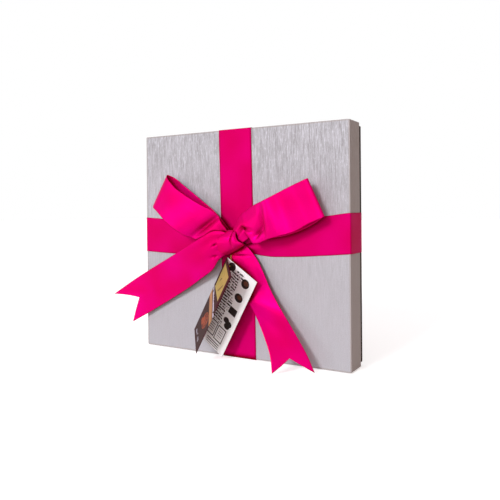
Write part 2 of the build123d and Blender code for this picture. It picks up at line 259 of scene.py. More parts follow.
class Graph:
    """A tree of shader nodes that values are written into."""

    def __init__(self, tree: bpy.types.NodeTree) -> None:
        """Wraps a tree."""
        self.tree = tree

    def feed(self, socket: bpy.types.NodeSocket, value: object) -> None:
        """Links or sets an input socket.

        Args:
            socket: The socket.
            value: A Wire, a number, a vector or a linear colour.
        """
        if isinstance(value, Wire):
            self.tree.links.new(value.socket, socket)
        elif socket.type == "RGBA":
            socket.default_value = (*value, 1.0)
        else:
            socket.default_value = value

    def node(self, kind: str, settings: dict, values: dict, output: Union[int, str] = 0) -> Wire:
        """Adds one node.

        Args:
            kind: The node's type.
            settings: Attribute names and values.
            values: Socket names or numbers, each with a value or a Wire.
            output: Which output to return.

        Returns:
            The chosen output.
        """
        made = self.tree.nodes.new(kind)
        for key, setting in settings.items():
            setattr(made, key, setting)
        for key, value in values.items():
            self.feed(made.inputs[key], value)
        return Wire(self, made.outputs[output])

    def parts(self, vector: Wire) -> Tuple[Wire, Wire, Wire]:
        """Returns the three parts of a vector."""
        first = self.node("ShaderNodeSeparateXYZ", {}, {0: vector})
        return tuple(Wire(self, output) for output in first.socket.node.outputs)

    def stretched(self, vector: Wire, scale: Point) -> Wire:
        """Returns a vector times a scale on each axis."""
        return self.node("ShaderNodeVectorMath", {"operation": "MULTIPLY"}, {0: vector, 1: scale})

    def along(self, vector: Wire, start: Point, way: Point) -> Wire:
        """Returns how far a position lies from a start point along a direction."""
        away = self.node("ShaderNodeVectorMath", {"operation": "SUBTRACT"}, {0: vector, 1: start})
        return self.node(
            "ShaderNodeVectorMath", {"operation": "DOT_PRODUCT"}, {0: away, 1: way}, "Value"
        )

    def noise(self, vector: Wire, scale: float, detail: float = 3.0) -> Wire:
        """Returns a noise value from 0 to 1."""
        values = {"Vector": vector, "Scale": scale, "Detail": detail}
        return self.node("ShaderNodeTexNoise", {}, values)

    def cells(self, vector: Wire, scale: float) -> Wire:
        """Returns the distance to the nearest of many scattered points."""
        return self.node("ShaderNodeTexVoronoi", {}, {"Vector": vector, "Scale": scale})

    def mix(self, share: object, first: object, second: object) -> Wire:
        """Mixes two colours, by the share of the second."""
        return self.node("ShaderNodeMix", {"data_type": "RGBA"}, {0: share, 6: first, 7: second}, 2)

    def bump(self, height: Wire, distance: float, strength: float = 1.0) -> Wire:
        """Returns a normal that follows a height, in metres."""
        values = {"Height": height, "Distance": distance, "Strength": strength}
        return self.node("ShaderNodeBump", {}, values)

    def seen(self) -> Wire:
        """Tells rays that show the background from rays that light the object.

        Returns:
            1 for rays of the camera, of reflections and through glass, else 0.
        """
        rays = ("Is Camera Ray", "Is Glossy Ray", "Is Transmission Ray")
        straight, mirrored, through = (self.node("ShaderNodeLightPath", {}, {}, ray) for ray in rays)
        return (straight + mirrored + through).least(1.0)


class Paint(Graph):
    """A material's graph, which ends in a Principled shader."""

    def __init__(self, name: str) -> None:
        """Makes the material.

        Args:
            name: Its name.
        """
        self.material = bpy.data.materials.new(name)
        self.material.use_nodes = True
        super().__init__(self.material.node_tree)
        self.shader = self.tree.nodes["Principled BSDF"]

    def put(self, **values: object) -> bpy.types.Material:
        """Sets or links the Principled shader's sockets.

        Args:
            **values: Socket names with _ for a space, each with a value or a Wire.

        Returns:
            The material.
        """
        for key, value in values.items():
            self.feed(self.shader.inputs[key.replace("_", " ")], value)
        return self.material

    def place(self) -> Wire:
        """Returns the position in the piece's own coordinates, in metres."""
        return self.node("ShaderNodeTexCoord", {}, {}, "Object")

    def ribbon_place(self) -> Wire:
        """Returns the position along and across a ribbon, in metres."""
        return self.node("ShaderNodeUVMap", {"uv_map": "ribbon"}, {})


# Finishes


@dataclass(frozen=True)
class Finish:
    """What the plainer finishes share: a name, a colour and its shade."""

    name: str
    colour: Colour
    shade: Colour


@dataclass(frozen=True)
class CoveringPaper(Finish):
    """Covering paper with a pearl or matt face and short upright streaks, and painted light in its
    colour: painted glints and streak contrast that grow toward the top, a painted gradient darker
    toward the top, and a painted edge-highlight band.

    Its sides lie half out from the middle, its foot at low and its top at high, in metres.
    """

    # The colour of the painted edge-highlight band.
    edge: Colour
    roughness: float
    metallic: float
    gloss: float
    # How far the painted glints and the painted streak contrast grow toward the top, from 0 to 1.
    painted_glint_rise: float
    half: float
    low: float
    high: float
    streak_shape: Point = (1.0, 1.0, 0.065)
    painted_glint_shape: Point = (1.0, 1.0, 0.2)
    grain_scale: float = 1500.0
    edge_highlight_wide: float = 0.0011
    relief: float = 0.00009

    def build(self) -> bpy.types.Material:
        """Makes the material.

        Returns:
            The material.
        """
        graph = Paint(self.name)
        place = graph.place()
        x, _, z = graph.parts(place)
        streaks = graph.noise(graph.stretched(place, self.streak_shape), 1600.0, 2.5)
        # Painted glints: where this noise passes 0.6 the colour is lightened, standing in for
        # highlights.
        painted_glints = graph.noise(graph.stretched(place, self.painted_glint_shape), self.grain_scale, 1.0) > 0.6
        grain = graph.noise(place, self.grain_scale, 5.0)
        cloud = graph.noise(place, 11.0, 2.0)
        lift = ((z - self.low) / (self.high - self.low)).clamped()
        # Painted sparkle: the glints and the streak contrast grow with height, for highlights on the
        # upper part of the face.
        shine = lift * lift * self.painted_glint_rise + (1.0 - self.painted_glint_rise) * 0.4
        # Painted shade: the term with lift on the next line mixes the paper darker toward the top,
        # for how light falls across the face.
        share = (streaks - 0.5) * (shine * 2.2 + 0.2) + (grain - 0.5) * 0.7
        share = share + painted_glints * shine * 0.4 + cloud * 0.25 + 0.36 - lift * 0.16
        # Painted edge highlight: a band along the sides, the top and the foot is mixed toward the
        # edge colour.
        upper, lower = z > self.high - self.edge_highlight_wide, z < self.low + self.edge_highlight_wide
        rim = any_of([abs(x) > self.half - self.edge_highlight_wide, upper, lower])
        body = graph.mix(share, self.shade, self.colour)
        return graph.put(
            Base_Color=graph.mix(rim * 0.55, body, self.edge),
            Roughness=grain * 0.14 + (self.roughness - 0.07),
            Metallic=self.metallic,
            Specular_IOR_Level=self.gloss,
            Normal=graph.bump(streaks * (shine * 0.8 + 0.1) + grain * 0.5, self.relief),
        )


@dataclass(frozen=True)
class SatinRibbon(Finish):
    """Woven satin ribbon: fine cross ribs, long warp threads, firm edges and painted shade in its
    creases.
    """

    # The colour of the painted crease shade.
    depth: Colour
    silk: float
    roughness: float
    width: float = RIBBON_WIDE * MM
    rib_pitch: float = 0.00055
    thread_shape: Point = (60.0, 2600.0, 1.0)
    edge_wide: float = 0.0007
    crease_shade_reach: float = 0.0055
    relief: float = 0.00004

    def build(self) -> bpy.types.Material:
        """Makes the material.

        Returns:
            The material.
        """
        graph = Paint(self.name)
        place = graph.ribbon_place()
        along, across, _ = graph.parts(place)
        ribs = (along * (math.tau / self.rib_pitch)).sine() * 0.5 + 0.5
        threads = graph.noise(graph.stretched(place, self.thread_shape), 1.0)
        cloud = ((graph.noise(place, 26.0, 1.0) - 0.32) * 2.8).clamped()
        edge = (across < self.edge_wide).most(across > self.width - self.edge_wide)
        share = threads * 0.2 + cloud * 0.7 + ribs * 0.1
        body = graph.mix(share, self.shade, self.colour)
        # Painted shade: where ambient occlusion finds surfaces close by, in creases, folds and under
        # the loops, the colour is mixed toward the dark depth colour.
        reach = {"Distance": self.crease_shade_reach}
        open_air = graph.node("ShaderNodeAmbientOcclusion", {"samples": 8}, reach, "AO")
        body = graph.mix(((0.95 - open_air) * 3.6).clamped(), body, self.depth)
        return graph.put(
            Base_Color=graph.mix(edge * 0.35, body, self.shade),
            Roughness=threads * 0.12 + (self.roughness - 0.06),
            Metallic=self.silk,
            Specular_IOR_Level=0.03,
            Specular_Tint=linear(255, 90, 170),
            Sheen_Weight=0.05,
            Sheen_Roughness=0.45,
            Sheen_Tint=linear(255, 110, 215),
            Anisotropic=0.4,
            Normal=graph.bump(ribs * 0.35 + threads * 0.5 + edge * 0.8, self.relief),
        )


@dataclass(frozen=True)
class PlainPaper(Finish):
    """Paper or board with a fibrous face."""

    roughness: float = 0.8
    fibre_shape: Point = (1.0, 1.0, 0.35)
    relief: float = 0.0001

    def build(self) -> bpy.types.Material:
        """Makes the material.

        Returns:
            The material.
        """
        graph = Paint(self.name)
        place = graph.place()
        fibres = graph.noise(graph.stretched(place, self.fibre_shape), 700.0, 6.0)
        flecks = graph.cells(place, 900.0)
        return graph.put(
            Base_Color=graph.mix(fibres * 0.8 + flecks * 0.3, self.shade, self.colour),
            Roughness=self.roughness,
            Normal=graph.bump(fibres, self.relief),
        )


class Spot(NamedTuple):
    """A place on a leaf: shares of its width from the spine and of its length from the top."""

    u: Wire
    v: Wire

    def in_box(self, middle: Pair, half: Pair) -> Wire:
        """Returns 1 inside a rectangle with this middle and these half sizes, else 0."""
        return (abs(self.u - middle[0]) < half[0]) * (abs(self.v - middle[1]) < half[1])

    def in_oval(self, middle: Pair, half: Pair) -> Wire:
        """Returns 1 inside an oval with this middle and these half sizes, else 0."""
        wide, long = (self.u - middle[0]) / half[0], (self.v - middle[1]) / half[1]
        return (wide * wide + long * long) < 1.0

    def bars(self, many: float, share: float) -> Wire:
        """Returns 1 on level bars, so many down the leaf and so thick, else 0."""
        return (self.v * many).fraction() < share


@dataclass(frozen=True)
class Leaf:
    """Where one leaf of the leaflet lies: its spine's top, its directions and its size."""

    start: Point
    across: Point
    down: Point
    inward: Point
    wide: float
    long: float

    def spot(self, graph: Paint) -> Spot:
        """Finds where on the leaf a point lies.

        Args:
            graph: The material's graph.

        Returns:
            The place on the leaf.
        """
        place = graph.place()
        u = graph.along(place, self.start, self.across) / self.wide
        v = graph.along(place, self.start, self.down) / self.long
        return Spot(u, v)


@dataclass(frozen=True)
class PrintedPage:
    """The leaflet's white page: rows of plain bars and a column of simple chocolates.

    Each shape has its middle and its half sizes, in shares of the leaf.
    """

    name: str
    leaf: Leaf
    paper: Colour = linear(252, 254, 255)
    fleck: Colour = linear(214, 214, 220)
    ink: Colour = linear(58, 52, 58)
    brown: Colour = linear(104, 56, 36)
    dark: Colour = linear(24, 12, 9)
    balls: Tuple[Shape, ...] = (
        ((0.242, 0.050), (0.105, 0.048)),
        ((0.75, 0.112), (0.115, 0.052)),
        ((0.745, 0.297), (0.12, 0.048)),
        ((0.70, 0.612), (0.085, 0.034)),
        ((0.81, 0.634), (0.08, 0.034)),
        ((0.775, 0.668), (0.085, 0.034)),
    )
    square: Shape = ((0.755, 0.474), (0.115, 0.042))
    shines: Tuple[Shape, ...] = (
        ((0.765, 0.105), (0.07, 0.026)),
        ((0.76, 0.29), (0.07, 0.022)),
    )
    frames: Tuple[Pair, ...] = ((0.416, 0.80), (0.70, 0.81))
    frame_outer: Pair = (0.13, 0.09)
    frame_inner: Pair = (0.11, 0.078)
    frame_bars: Pair = (0.07, 0.055)

    def build(self) -> bpy.types.Material:
        """Makes the material.

        Returns:
            The material.
        """
        graph = Paint(self.name)
        spot = self.leaf.spot(graph)
        u, v = spot
        speck = graph.noise(graph.place(), 1500.0, 2.0)
        words = graph.noise(graph.place(), 520.0, 1.0)
        ragged = graph.noise(graph.place(), 90.0, 1.0)
        rows = (v * 31.0 + ragged * 0.9).fraction() < 0.55
        block = v.between(0.07, 0.70) * (u > 0.12) * (u < ragged * 0.36 + 0.42)
        head = v.between(0.03, 0.10) * u.between(0.42, 0.66)
        lines = rows * block.most(head) * (words > 0.44)
        foot = spot.bars(40.0, 0.5) * v.between(0.925, 0.985) * u.between(0.40, 0.80)
        balls = any_of([spot.in_oval(*ball) for ball in self.balls])
        shapes = balls.most(spot.in_box(*self.square))
        lit = any_of([spot.in_oval(*shine) for shine in self.shines])
        frames = any_of([self.outline(spot, middle) for middle in self.frames])
        marks = any_of([lines, foot * 0.9, frames])
        printed = graph.mix(marks, graph.mix(speck * 0.2, self.paper, self.fleck), self.ink)
        gloss = graph.mix(lit * (words * 1.4).least(1.0), self.dark, self.brown)
        return graph.put(
            Base_Color=graph.mix(shapes, printed, gloss),
            Roughness=0.5 - shapes * 0.15,
            Normal=graph.bump(speck, PRINT_RELIEF),
        )

    def outline(self, spot: Spot, middle: Pair) -> Wire:
        """Draws a thin frame with three bars in it.

        Args:
            spot: The place on the leaf.
            middle: The frame's middle.

        Returns:
            1 on its lines, less on its bars, else 0.
        """
        frame = spot.in_box(middle, self.frame_outer) - spot.in_box(middle, self.frame_inner)
        bars = spot.in_box(middle, self.frame_bars) * spot.bars(36.0, 0.35)
        return frame.most(bars * 0.7)


@dataclass(frozen=True)
class PrintedCover:
    """The leaflet's cover: a dark ground, a gold patch, slanting bands and a warm shape.

    Each shape has its middle and its half sizes, in shares of the leaf.
    """

    name: str
    leaf: Leaf
    ground: Colour = linear(58, 38, 36)
    fleck: Colour = linear(66, 46, 42)
    border: Colour = linear(58, 12, 20)
    gold: Colour = linear(206, 190, 118)
    old_gold: Colour = linear(170, 146, 70)
    silver: Colour = linear(206, 198, 214)
    tan: Colour = linear(182, 134, 96)
    warm: Colour = linear(168, 84, 58)
    inner_page: Colour = linear(246, 246, 250)
    middle: Pair = (0.5, 0.5)
    panel: Pair = (0.47, 0.484)
    patch: Shape = ((0.48, 0.205), (0.35, 0.155))
    lattice: Shape = ((0.5, 0.25), (0.2, 0.07))
    petal: Shape = ((0.80, 0.70), (0.22, 0.10))
    low_petal: Shape = ((0.40, 0.80), (0.16, 0.04))
    foot: Shape = ((0.45, 0.93), (0.25, 0.02))
    inner_block: Pair = (0.38, 0.4)

    def build(self) -> bpy.types.Material:
        """Makes the material.

        Returns:
            The material.
        """
        graph = Paint(self.name)
        spot = self.leaf.spot(graph)
        u, v = spot
        speck = graph.noise(graph.place(), 1100.0)
        blot = graph.noise(graph.place(), 240.0)
        colour = graph.mix(speck, self.ground, self.fleck)
        frame = 1.0 - spot.in_box(self.middle, self.panel)
        frame = any_of([frame, (u > 0.84) * (v < 0.42), (v < 0.40) * (u < 0.12)])
        colour = graph.mix(frame, colour, self.border)
        lattice = ((u * 3.0 + v * 5.0).fraction() < 0.16) * spot.in_box(*self.lattice)
        metal = graph.mix(blot, self.gold, self.old_gold)
        patch = spot.in_box(*self.patch)
        colour = graph.mix(patch, colour, graph.mix(lattice * 0.7, metal, self.border))
        slant = v - u * 0.12
        band = graph.mix(blot > 0.55, self.silver, self.ground)
        colour = graph.mix(slant.between(0.37, 0.405), colour, band)
        colour = graph.mix(slant.between(0.425, 0.515), colour, self.tan)
        petal = Spot(u + v * 0.35, v).in_oval(*self.petal)
        petal = petal.most(Spot(u, v + u * 0.1).in_oval(*self.low_petal))
        patchy = ((blot - 0.38) * 5.0).most(0.0).least(0.9)
        colour = graph.mix(petal * patchy, colour, self.warm)
        colour = graph.mix(spot.in_box(*self.foot) * (blot > 0.5) * 0.6, colour, self.silver)
        facing = graph.node("ShaderNodeTexCoord", {}, {}, "Normal")
        inner = graph.along(facing, (0.0, 0.0, 0.0), self.leaf.inward) > 0.5
        lines = spot.bars(42.0, 0.45) * (blot > 0.45) * spot.in_box(self.middle, self.inner_block)
        colour = graph.mix(inner, colour, graph.mix(lines * 0.8, self.inner_page, self.ground))
        patch = patch * (1.0 - inner)
        return graph.put(
            Base_Color=colour,
            Roughness=0.55 - patch * 0.1,
            Metallic=patch * 0.3,
            Specular_IOR_Level=0.08,
            Normal=graph.bump(speck, PRINT_RELIEF),
        )


@dataclass(frozen=True)
class TwistedCord(Finish):
    """A metallic cord of two twisted strands."""

    twist: Point = (3000.0, 3000.0, 4200.0)
    relief: float = 0.0002

    def build(self) -> bpy.types.Material:
        """Makes the material.

        Returns:
            The material.
        """
        graph = Paint(self.name)
        turn = graph.along(graph.place(), (0.0, 0.0, 0.0), self.twist)
        strand = turn.sine() * 0.5 + 0.5
        return graph.put(
            Base_Color=graph.mix(strand, self.shade, self.colour),
            Metallic=0.6,
            Roughness=0.35,
            Normal=graph.bump(strand, self.relief),
        )


@dataclass(frozen=True)
class Chocolate(Finish):
    """A chocolate shell: a soft gloss, a fat bloom in its hollows and an optional drizzle."""

    drizzle: Optional[Colour] = None
    lumps: float = 0.0
    relief: float = 0.0003

    def build(self) -> bpy.types.Material:
        """Makes the material.

        Returns:
            The material.
        """
        graph = Paint(self.name)
        place = graph.place()
        bloom = graph.noise(place, 160.0, 4.0)
        pits = graph.cells(place, 1200.0)
        wave = graph.noise(place, 260.0, 2.0)
        colour = graph.mix(bloom, self.shade, self.colour)
        height = wave * 0.5 + bloom * 0.3 + wave * self.lumps
        if self.drizzle is not None:
            x, _, z = graph.parts(place)
            line = abs(((x * 0.6 + z) * 700.0 + bloom * 2.2).sine()) < 0.3
            colour = graph.mix(line, colour, self.drizzle)
            height = height + line * 0.8
        return graph.put(
            Base_Color=colour,
            Roughness=bloom * 0.15 + pits * 0.08 + 0.2,
            Coat_Weight=0.25,
            Normal=graph.bump(height, self.relief),
        )


@dataclass(frozen=True)
class FormedSheet(Finish):
    """Thin formed plastic with a metallic face."""

    relief: float = 0.0004

    def build(self) -> bpy.types.Material:
        """Makes the material.

        Returns:
            The material.
        """
        graph = Paint(self.name)
        ripple = graph.noise(graph.place(), 70.0)
        grain = graph.noise(graph.place(), 1500.0, 2.0)
        return graph.put(
            Base_Color=graph.mix(ripple, self.shade, self.colour),
            Metallic=0.7,
            Roughness=grain * 0.1 + 0.26,
            Normal=graph.bump(ripple * 0.7 + grain * 0.1, self.relief),
        )


# Where things are


@dataclass(frozen=True)
class Lid:
    """The lid's place in the row frame in millimetres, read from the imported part.

    The face, the rim and the base's back lie along y, the side along x, and low and top
    along z.
    """

    face: float
    back: float
    rim: float
    side: float
    low: float
    top: float

    @classmethod
    def read(cls) -> "Lid":
        """Reads the lid and the base.

        Returns:
            The lid's faces, in millimetres.
        """
        low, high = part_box("lid_wrap")
        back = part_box("base_wrap")[1].y
        return cls(low.y / MM, back / MM, high.y / MM, high.x / MM, low.z / MM, high.z / MM)

    @property
    def middle(self) -> float:
        """Height of the lid's middle."""
        return (self.low + self.top) / 2

    @property
    def half_high(self) -> float:
        """Half of the lid's height."""
        return (self.top - self.low) / 2

    @property
    def deep(self) -> float:
        """The lid's depth, from its face to its rim."""
        return self.rim - self.face

    def at(self, point: Point) -> Point:
        """Turns a place on the lid into the row frame.

        Args:
            point: Right of the lid's middle, up from it and out from its face, in millimetres.

        Returns:
            The place in metres.
        """
        right, up, out = point
        return right * MM, (self.face - out) * MM, (self.middle + up) * MM


# Ribbon surfaces


@dataclass(frozen=True)
class Row:
    """One cross section of a ribbon: its two edges, how it bulges and how it gathers."""

    first: Point
    second: Point
    bulge: float = 0.0
    gather: float = 0.0


@dataclass(frozen=True)
class Dent:
    """A soft hollow, or a swelling if its depth is negative.

    Its middle is at along and across, it fades over reach along and spread across, and the
    slant carries it across as it runs along. The depth is in millimetres, the rest are
    shares of the ribbon.
    """

    along: float
    across: float
    reach: float
    spread: float
    depth: float
    slant: float = 0.0

    def hollow(self, spots: np.ndarray, share: float) -> np.ndarray:
        """Works out how deep the hollow is.

        Args:
            spots: Shares of the ribbon's length.
            share: A share of its width.

        Returns:
            The depth at each, in millimetres.
        """
        middle = self.across + self.slant * (spots - self.along)
        fall = ((spots - self.along) / self.reach) ** 2 + ((share - middle) / self.spread) ** 2
        return self.depth * np.exp(-fall)


def smooth_curve(knots: np.ndarray, places: np.ndarray, wanted: np.ndarray) -> np.ndarray:
    """Runs a smooth curve through points.

    Args:
        knots: The points, one to a line.
        places: Where along the curve each point lies.
        wanted: Where along the curve to find points.

    Returns:
        The points found.
    """
    slopes = np.gradient(knots, places, axis=0)
    spot = np.clip(np.searchsorted(places, wanted, side="right") - 1, 0, len(places) - 2)
    gap = (places[spot + 1] - places[spot])[:, None]
    t = ((wanted - places[spot]) / gap[:, 0])[:, None]
    start, end = knots[spot], knots[spot + 1]
    leave, arrive = slopes[spot] * gap, slopes[spot + 1] * gap
    return (
        start * (2 * t**3 - 3 * t**2 + 1)
        + leave * (t**3 - 2 * t**2 + t)
        + end * (-2 * t**3 + 3 * t**2)
        + arrive * (t**3 - t**2)
    )


@dataclass
class Strip:
    """A ribbon laid through rows of edge points, in millimetres.

    Its gathers are waves that drift along it and fade toward its edges, the faster the larger
    hem is. Its bulge is a sine to the power of its roundness. The notch at its end draws it in
    over notch_reach times the notch. Its direction is measured a probe ahead and behind.
    """

    name: str
    rows: Sequence[Row]
    stands_for: Tuple[str, ...]
    hold: Held
    length: float
    steps: Tuple[int, int]
    body: str = "lid"
    rests_on: Tuple[str, ...] = ()
    side: Side = Side.ALONG
    waves: float = 2.0
    phase: float = 0.0
    drift: float = 2.2
    notch: float = 0.0
    notch_reach: float = 2.2
    dents: Tuple[Dent, ...] = ()
    width: float = RIBBON_WIDE
    thick: float = 0.36
    roundness: float = 0.8
    hem: float = 6.0
    probe: float = 0.001

    @property
    def held(self) -> str:
        return self.hold.value

    def edges(self, spots: np.ndarray) -> Tuple[np.ndarray, np.ndarray, np.ndarray, np.ndarray]:
        """Finds the two edges and the row values along the ribbon.

        Args:
            spots: Shares of the ribbon's length.

        Returns:
            First edge, second edge, bulge and gather at each share.
        """
        table = np.array([[*row.first, *row.second, row.bulge, row.gather] for row in self.rows])
        middles = (table[:, :3] + table[:, 3:6]) / 2
        gaps = np.linalg.norm(np.diff(middles, axis=0), axis=1)
        places = np.concatenate([[0.0], np.cumsum(gaps)])
        found = smooth_curve(table, places / places[-1], spots)
        return found[:, :3], found[:, 3:6], found[:, 6], found[:, 7]

    def drawn_in(self, along: np.ndarray, share: float) -> np.ndarray:
        """Draws the end of the ribbon in to its notch, if it has one.

        Args:
            along: Shares of the ribbon's length.
            share: A share of its width.

        Returns:
            The shares of the length that the points move to.
        """
        if not self.notch:
            return along
        cut = self.notch / self.length * (1 - abs(2 * share - 1))
        start = 1 - self.notch_reach * self.notch / self.length
        pulled = start + (along - start) * (1 - cut - start) / (1 - start)
        return np.where(along > start, pulled, along)

    def line(self, spots: np.ndarray, share: float) -> np.ndarray:
        """Lays one line of points along the ribbon.

        Args:
            spots: Shares of the ribbon's length.
            share: A share of its width.

        Returns:
            The points, in millimetres on the lid.
        """
        first, second, bulge, gather = self.edges(spots)
        ahead = self.edges(np.clip(spots + self.probe, 0, 1))
        behind = self.edges(np.clip(spots - self.probe, 0, 1))
        forward = (ahead[0] + ahead[1]) - (behind[0] + behind[1])
        normal = np.cross(forward, second - first)
        normal /= np.linalg.norm(normal, axis=1)[:, None]
        rise = bulge * math.sin(math.pi * share) ** self.roundness
        wave = np.sin(math.tau * self.waves * share + self.phase + self.drift * spots)
        rise = rise + gather * wave * min(1.0, self.hem * share, self.hem * (1 - share))
        for dent in self.dents:
            rise = rise - dent.hollow(spots, share)
        return first + (second - first) * share + normal * (rise * self.side.value)[:, None]

    def surface(self) -> Tuple[np.ndarray, np.ndarray]:
        """Works out the ribbon's surface.

        Returns:
            A grid of points in millimetres on the lid, and their places along and across.
        """
        many, wide = self.steps
        along = np.linspace(0, 1, many + 1)
        across = np.linspace(0, 1, wide + 1)
        points = np.zeros((many + 1, wide + 1, 3))
        for column, share in enumerate(across):
            points[:, column] = self.line(self.drawn_in(along, share), share)
        flat = np.zeros((many + 1, wide + 1, 2))
        flat[:, :, 0] = along[:, None] * self.length
        flat[:, :, 1] = across[None, :] * self.width
        return points, flat

    def build(self, lid: Lid, finish: bpy.types.Material) -> bpy.types.Object:
        """Args:
            lid: The lid that it is laid out from.
            finish: Its material.

        Returns:
            The ribbon's object.
        """
        points, flat = self.surface()
        places = [lid.at(tuple(point)) for point in points.reshape(-1, 3)]
        piece = add_mesh(self.name, places, grid_faces(*points.shape[:2]), finish)
        layer = piece.data.uv_layers.new(name="ribbon")
        flat = flat.reshape(-1, 2) * MM
        for loop in piece.data.loops:
            layer.data[loop.index].uv = flat[loop.vertex_index]
        skin = piece.modifiers.new("thickness", "SOLIDIFY")
        skin.thickness = self.thick * MM
        skin.offset = 0.0
        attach(piece, self.body)
        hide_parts(*self.stands_for)
        flat_size = (self.width * MM, self.length * MM)
        area = self.width * (self.length - self.notch / 2) * MM * MM
        return piece


# The parts of the box


@dataclass
class Papers:
    """The lid and the base: covering paper over board.

    Edges that turn by more than sharp, in degrees, get a bevel, in millimetres.
    """

    bevel: float = 0.7
    bevel_steps: int = 3
    sharp: float = 50.0
    pieces: List[str] = field(default_factory=list)

    def dress(self, nodes: Nodes, lid: Lid) -> None:
        """Gives the lid and the base their finishes and softened edges.

        Args:
            nodes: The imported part's objects by name.
            lid: The lid.
        """
        sides = {"half": lid.side * MM, "low": lid.low * MM, "high": lid.top * MM}
        # The edge colours below paint the edge-highlight band of each paper.
        pearl = CoveringPaper(
            name="pearl_paper",
            colour=linear(208, 208, 217),
            shade=linear(158, 155, 160),
            edge=linear(166, 155, 150),
            roughness=0.5,
            metallic=0.1,
            gloss=0.15,
            # A glint rise of 1 paints glints and streak contrast that grow toward the top.
            painted_glint_rise=1.0,
            **sides,
        )
        dark = CoveringPaper(
            name="dark_paper",
            colour=linear(76, 68, 66),
            shade=linear(58, 50, 50),
            edge=linear(96, 88, 86),
            roughness=0.62,
            metallic=0.0,
            gloss=0.02,
            painted_glint_rise=0.0,
            **sides,
        )
        board = PlainPaper("grey_board", linear(196, 186, 170), linear(160, 150, 134)).build()
        for part, paper in (("lid", pearl), ("base", dark)):
            wrap = nodes[f"{part}_wrap"]
            wear(wrap, paper.build())
            self.soften(wrap)
            wear(nodes[f"{part}_board"], board)
            self.pieces += [f"{part}_wrap", f"{part}_board"]

    def soften(self, piece: bpy.types.Object) -> None:
        """Softens a piece's sharp edges.

        Args:
            piece: The piece.
        """
        edges = piece.modifiers.new("edges", "BEVEL")
        edges.width = self.bevel * MM
        edges.segments = self.bevel_steps
        edges.limit_method = "ANGLE"
        edges.angle_limit = math.radians(self.sharp)
        edges.use_clamp_overlap = True


